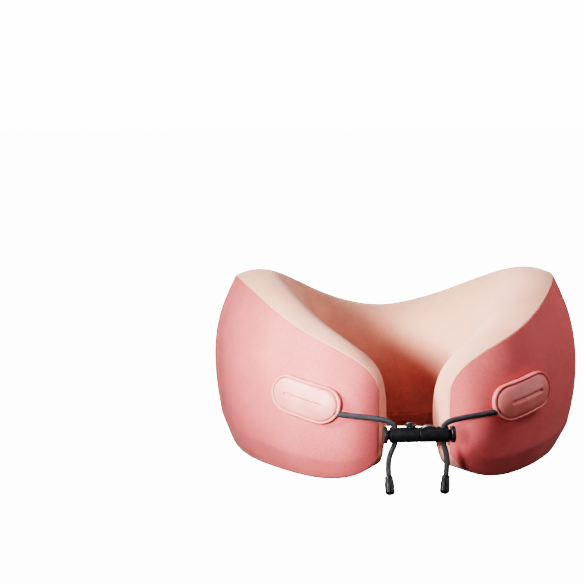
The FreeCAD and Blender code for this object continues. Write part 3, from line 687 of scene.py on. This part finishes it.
# ---- Badges ---------------------------------------------------------------------------------------
# Distances in from the badge's outline, and the heights above the fabric there.
RIM_PROFILE = (
    (0.0, -0.0009),        # the rim's foot is sunk into the fabric
    (0.0, 0.0018),
    (0.00004, 0.0030),
    (0.0002, 0.0038),
    (0.0006, 0.0047),
    (0.0011, 0.0049),
    (0.0016, 0.0047),
    (0.00195, 0.0041),
    (0.0021, 0.0034),
    (0.0030, 0.0032),
    (0.0060, 0.0032),
    (0.0095, 0.0032),
    (0.0131, 0.0032),
)
PILL_PROFILE = (
    (0.0024, 0.0029),
    (0.0024, 0.0038),
    (0.00255, 0.0044),
    (0.0030, 0.0048),
    (0.0040, 0.0052),
    (0.0060, 0.0056),
    (0.0085, 0.0060),
    (0.0106, 0.0063),
    (0.0117, 0.0064),
    (0.0122, 0.0062),
    (0.0124, 0.0054),
    (0.0126, 0.0050),
    (0.0130, 0.0049),
)
ARC_POINTS = 22
SIDE_POINTS = 20
BADGE_HOLLOW = 0.004       # the underside's loop lies this much further in than the outline
PROBE_REACH = (0.031, 0.0145)     # the fabric is probed this far along and across
PROBE_COUNT = (13, 7)
PROBE_START = 0.03
PROBE_LENGTH = 0.08
FABRIC_DEGREE = 4
FABRIC_SCALE = 30          # brings distances over a badge close to one, for the powers


def capsule(inset):
    """Points of the badge's outline, moved inwards by inset, as (along, across)."""
    radius = BADGE_WIDTH / 2 - inset
    half = (BADGE_LENGTH - BADGE_WIDTH) / 2
    points = []
    for end in (1, -1):
        for i in range(ARC_POINTS):
            angle = math.pi * (i / ARC_POINTS - 0.5)
            points.append((end * (half + radius * math.cos(angle)), end * radius * math.sin(angle)))
        for i in range(SIDE_POINTS):
            points.append((end * half * (1 - 2 * i / SIDE_POINTS), end * radius))
    return points


def badge_frame(side):
    middle, outwards = surface_point(side)
    level = Vector((-outwards.y, outwards.x, 0)) * side
    along = level * math.cos(BADGE_TILT) + Vector((0, 0, math.sin(BADGE_TILT)))
    return middle, along, outwards.cross(along).normalized(), outwards


def fabric_height(side, cover_tree):
    """A smooth polynomial through the fabric under a badge: how far out it stands at (along, across)."""
    middle, along, across, outwards = badge_frame(side)
    terms, heights = [], []
    (reach_u, reach_v), (count_u, count_v) = PROBE_REACH, PROBE_COUNT
    for u in np.linspace(-reach_u, reach_u, count_u):
        for v in np.linspace(-reach_v, reach_v, count_v):
            origin = middle + along * u + across * v + outwards * PROBE_START
            hit = cover_tree.ray_cast(origin, -outwards, PROBE_LENGTH)[0]
            if hit:
                terms.append(powers(u, v))
                heights.append((hit - middle).dot(outwards))
    return np.linalg.lstsq(np.array(terms), np.array(heights), rcond=None)[0]


def powers(u, v):
    u, v = u * FABRIC_SCALE, v * FABRIC_SCALE
    return [u ** i * v ** j for i in range(FABRIC_DEGREE + 1) for j in range(FABRIC_DEGREE + 1 - i)]


def badge_layer(name, side, profile, heights, material, slot, node):
    """A closed moulded piece that follows the fabric: capsule loops at each step of the profile."""
    middle, along, across, outwards = badge_frame(side)
    step = 1e-4

    def on_fabric(u, v):
        return float(np.dot(powers(u, v), heights))

    def place(u, v, height):
        slope_u = (on_fabric(u + step, v) - on_fabric(u - step, v)) / (2 * step)
        slope_v = (on_fabric(u, v + step) - on_fabric(u, v - step)) / (2 * step)
        normal = (outwards - along * slope_u - across * slope_v).normalized()
        return middle + along * u + across * v + outwards * on_fabric(u, v) + normal * height

    points = [place(u, v, height) for inset, height in profile for u, v in capsule(inset)]
    outline, base = profile[0]
    under = [place(u, v, base) for u, v in capsule(outline + BADGE_HOLLOW)]
    ring = len(under)
    faces = ring_faces(len(profile), ring, closed_ends=False)
    top = (len(profile) - 1) * ring
    faces.append(tuple(range(top, top + ring)))
    bottom = len(points)
    for j in range(ring):
        k = (j + 1) % ring
        faces.append((k, j, bottom + j, bottom + k))
    faces.append(tuple(reversed(range(bottom, bottom + ring))))
    if side < 0:
        faces = [tuple(reversed(face)) for face in faces]
    obj = new_object(name, points + under, faces, material)
    subdivide(obj)
    return piece(obj, "pillow", slot, node)


def badges():
    corners = COVER.reshape(-1, 3)
    tree = BVHTree.FromPolygons([tuple(p) for p in corners], ring_faces(COVER.shape[0], ROWS))
    for side, word in ((-1, "left"), (1, "right")):
        heights = fabric_height(side, tree)
        badge_layer("badge_rim_" + word, side, RIM_PROFILE, heights, MATERIALS["badge"], "badge_rubber",
                    "badge_base_" + word)
        badge_layer("badge_face_" + word, side, PILL_PROFILE, heights, MATERIALS["pill"], "badge_rubber",
                    "badge_pill_" + word)


# ---- Cords ----------------------------------------------------------------------------------------
def nurbs_line(route):
    """Points along the smooth NURBS spline whose control points are the route."""
    data = bpy.data.curves.new("route", "CURVE")
    data.dimensions = "3D"
    data.resolution_u = 12
    spline = data.splines.new("NURBS")
    spline.points.add(len(route) - 1)
    for point, place in zip(spline.points, route):
        point.co = (*place, 1.0)
    spline.order_u = 3
    spline.use_endpoint_u = True
    guide = bpy.data.objects.new("route", data)
    bpy.context.scene.collection.objects.link(guide)
    bpy.context.view_layer.update()
    mesh = bpy.data.meshes.new_from_object(guide)
    line = [v.co.copy() for v in mesh.vertices]
    bpy.data.objects.remove(guide)
    return line


def swept(name, line, radius, material):
    """A round tube along a line, with UVs that wind round it."""
    points = []
    befores, afters = line[:1] + line[:-1], line[1:] + line[-1:]
    tangents = [(after - before).normalized() for before, after in zip(befores, afters)]
    across = tangents[0].orthogonal().normalized()
    for place, tangent in zip(line, tangents):
        across = (across - tangent * across.dot(tangent)).normalized()
        up = tangent.cross(across)
        for j in range(CORD_SIDES):
            angle = 2 * math.pi * j / CORD_SIDES
            points.append(place + (across * math.cos(angle) + up * math.sin(angle)) * radius)
    obj = new_object(name, points, ring_faces(len(line), CORD_SIDES), material)
    travelled = np.concatenate([[0], np.cumsum([(b - a).length for a, b in zip(line, line[1:])])])
    layer = obj.data.uv_layers.new(name="UVMap")
    for polygon in obj.data.polygons:
        if len(polygon.vertices) > 4:
            continue
        for corner, vertex in zip(polygon.loop_indices, polygon.vertices):
            row, around = divmod(vertex, CORD_SIDES)
            if around == 0 and any(v % CORD_SIDES == CORD_SIDES - 1 for v in polygon.vertices):
                around = CORD_SIDES
            turns = travelled[row] / (2 * math.pi * radius)
            layer.data[corner].uv = (around / CORD_SIDES * BRAID_REPEATS, turns * BRAID_REPEATS)
    return obj


def cords():
    for side, word in ((-1, "left"), (1, "right")):
        route = CORD_ROUTES[side]
        line = nurbs_line(route)
        obj = swept("elastic_cord_" + word, line, CORD_RADIUS, MATERIALS["cord"])
        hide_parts("cord_" + word)
        if side < 0:
            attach(obj, "pillow")
        else:
            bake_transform(obj)


# ---- Zipper teeth and stitches --------------------------------------------------------------------
def cone_place(angle, height, lift):
    """A point of the zipper's cone, angle round from straight behind, with the directions along and out."""
    radius = ZIP_RADIUS + ZIP_LEAN * (height - ZIP_Z) + lift
    out = Vector((-math.sin(angle), math.cos(angle), 0.0))
    along = Vector((-math.cos(angle), -math.sin(angle), 0.0))
    return Vector((0.0, ZIP_CENTRE_Y, height)) + out * radius, along, out


def bead(place, axis, side, up, length, width, height):
    """Points and faces of one long rounded bead."""
    points = []
    for i in range(BEAD_RINGS):
        lean = math.pi * (i + 0.5) / BEAD_RINGS
        girth = math.sin(lean) ** BEAD_FULLNESS / 2
        for j in range(BEAD_SIDES):
            turn = 2 * math.pi * j / BEAD_SIDES
            offset = side * (math.cos(turn) * width * girth) + up * (math.sin(turn) * height * girth)
            points.append(place - axis * (math.cos(lean) * length / 2) + offset)
    return points, ring_faces(BEAD_RINGS, BEAD_SIDES)


def joined(name, beads, material):
    points, faces = [], []
    for bead_points, bead_faces in beads:
        first = len(points)
        points += bead_points
        faces += [tuple(first + i for i in face) for face in bead_faces]
    return new_object(name, points, faces, material)


def along_zipper(pitch):
    """Angles every pitch along the zipper, a little short of its end stops."""
    count = int((2 * ZIP_HALF_ANGLE * ZIP_RADIUS - ZIP_END_SPARE) / pitch)
    return [(i - (count - 1) / 2) * pitch / ZIP_RADIUS for i in range(count)]


def teeth(side):
    """One row of teeth: the two rows are half a pitch apart, and lean against each other."""
    beads = []
    for angle in along_zipper(TOOTH_PITCH):
        shifted = angle + side * TOOTH_PITCH / 4 / ZIP_RADIUS
        place, along, out = cone_place(shifted, ZIP_Z + side * TOOTH_OFFSET, TOOTH_LIFT)
        upright = Vector((0.0, 0.0, 1.0)) + out * ZIP_LEAN
        axis = (upright.normalized() + along * TOOTH_SLANT * side).normalized()
        beads.append(bead(place, axis, axis.cross(out), out, TOOTH_LENGTH, TOOTH_WIDTH, TOOTH_HEIGHT))
    return beads


def stitches(side):
    beads = []
    for angle in along_zipper(STITCH_PITCH):
        place, along, out = cone_place(angle, ZIP_Z + side * STITCH_OFFSET, STITCH_LIFT)
        beads.append(bead(place, along, along.cross(out), out, STITCH_LENGTH, STITCH_WIDTH, STITCH_HEIGHT))
    return beads


def zipper():
    for side, word in ((1, "upper"), (-1, "lower")):
        row = joined("zipper_teeth_" + word, teeth(side), MATERIALS["coil"])
        piece(row, "pillow", "zip_coil", "zipper_coil_" + word)
        seam = joined("zipper_stitching_" + word, stitches(side), MATERIALS["thread"])
        piece(seam, "pillow", "zip_tape")


# ---- CAD nodes that keep their shape --------------------------------------------------------------
def finish_cad_nodes():
    finishes = {
        "foam_core": "foam",
        "cord_tip_left": "tip",
        "cord_tip_right": "tip",
        "lock_socket": "lock",
        "lock_plug": "lock",
        "plunger_left": "button",
        "plunger_right": "button",
        "release_button": "button",
        "plunger_spring_left": "spring",
        "plunger_spring_right": "spring",
        "button_spring": "spring",
        "latch_plate": "latch",
        "zipper_tape_upper": "tape",
        "zipper_tape_lower": "tape",
        "zipper_end_stops": "zip_metal",
        "zipper_slider": "zip_metal",
        "zipper_pull": "zip_metal",
        "care_label": "label",
    }
    for node, finish in finishes.items():
        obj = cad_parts[node]
        for slot in obj.material_slots:
            slot.material = MATERIALS[finish]


# ---- Stage, lights and camera ---------------------------------------------------------------------
FLOOR_HALF = 4.0
FLOOR_Z = -0.0005
DOME_RADIUS = 5.0


def glowing(name, colour, roughness, strength):
    """A plain surface that gives its own white light, so that it stays pale."""
    surface = Surface(name, colour, roughness)
    surface.shader.inputs["Emission Color"].default_value = (1.0, 1.0, 1.0, 1.0)
    surface.shader.inputs["Emission Strength"].default_value = strength
    return surface


def floor():
    surface = glowing("pale_floor", "F4F3F1", 0.9, 7.0)
    shade = surface.noise(6.0, 2.0)
    surface.colour(surface.ramp(shade, [(0.2, "F1F0EE"), (0.8, "F6F5F3")]))
    corners = [(x * FLOOR_HALF, y * FLOOR_HALF, FLOOR_Z) for x, y in ((-1, -1), (1, -1), (1, 1), (-1, 1))]
    stage_piece(new_object("floor", corners, [(0, 1, 2, 3)], surface.material, smooth=False))


def backdrop():
    """A plain white dome behind everything."""
    shape = bmesh.new()
    bmesh.ops.create_icosphere(shape, subdivisions=4, radius=DOME_RADIUS)
    mesh = bpy.data.meshes.new("backdrop")
    shape.to_mesh(mesh)
    shape.free()
    mesh.materials.append(glowing("white_backdrop", "FFFFFF", 1.0, 9.0).material)
    obj = bpy.data.objects.new("backdrop", mesh)
    bpy.context.scene.collection.objects.link(obj)
    obj.visible_shadow = False
    stage_piece(obj)


def stage_piece(obj):
    """The stage is seen, and throws no light of its own on the pillow."""
    obj.visible_diffuse = False
    obj.visible_glossy = False


# Each light's place, what it points at, its width, its spread in degrees and its power in watts.
LIGHTS = {
    "top_right": ((0.80, -0.10, 0.90), (0.0, -0.05, 0.06), 0.5, 120, 1.8),
    "right": ((1.00, -0.20, 0.25), (0.0, -0.05, 0.06), 0.6, 120, 0.8),
    "right_lobe": ((-0.90, -0.40, 0.60), (0.080, -0.050, 0.100), 0.20, 22, 0.38),
    "left_lobe": ((-0.30, -0.55, 0.20), (-0.075, -0.100, 0.065), 0.14, 26, 0.15),
    "back": ((-0.30, 1.20, 0.60), (0.0, -0.05, 0.06), 0.7, 120, 4.0),
}
LIGHT_COLOUR = (1.0, 0.96, 0.94)
AMBIENT_COLOUR = (1.0, 0.82, 0.78, 1.0)
AMBIENT_STRENGTH = 0.03


def lights():
    for name, (place, target, width, spread, power) in LIGHTS.items():
        data = bpy.data.lights.new(name, "AREA")
        data.shape = "DISK"
        data.size = width
        data.spread = math.radians(spread)
        data.energy = power
        data.color = LIGHT_COLOUR
        obj = bpy.data.objects.new(name, data)
        bpy.context.scene.collection.objects.link(obj)
        obj.location = place
        obj.rotation_euler = (Vector(target) - Vector(place)).to_track_quat("-Z", "Y").to_euler()
        obj.visible_camera = False
    world = bpy.data.worlds.new("studio")
    bpy.context.scene.world = world
    world.use_nodes = True
    background = world.node_tree.nodes["Background"]
    background.inputs["Color"].default_value = AMBIENT_COLOUR
    background.inputs["Strength"].default_value = AMBIENT_STRENGTH


def camera():
    data = bpy.data.cameras.new("camera")
    data.lens = CAMERA_LENS
    data.sensor_width = SENSOR_WIDTH
    obj = bpy.data.objects.new("camera", data)
    bpy.context.scene.collection.objects.link(obj)
    sin_a, cos_a = math.sin(CAMERA_AZIMUTH), math.cos(CAMERA_AZIMUTH)
    sin_e, cos_e = math.sin(CAMERA_ELEVATION), math.cos(CAMERA_ELEVATION)
    back = Vector((sin_a * cos_e, -cos_a * cos_e, sin_e))
    right = Vector((cos_a, sin_a, 0.0))
    up = back.cross(right)
    turn = Matrix((right, up, back)).transposed()
    obj.matrix_world = Matrix.Translation(CAMERA_PLACE) @ turn.to_4x4()
    bpy.context.scene.camera = obj


camera()
cords()
cover()
badges()
zipper()
finish_cad_nodes()
floor()
backdrop()
lights()
bpy.context.scene.view_settings.view_transform = "Filmic"
bpy.context.scene.view_settings.look = "Very High Contrast"
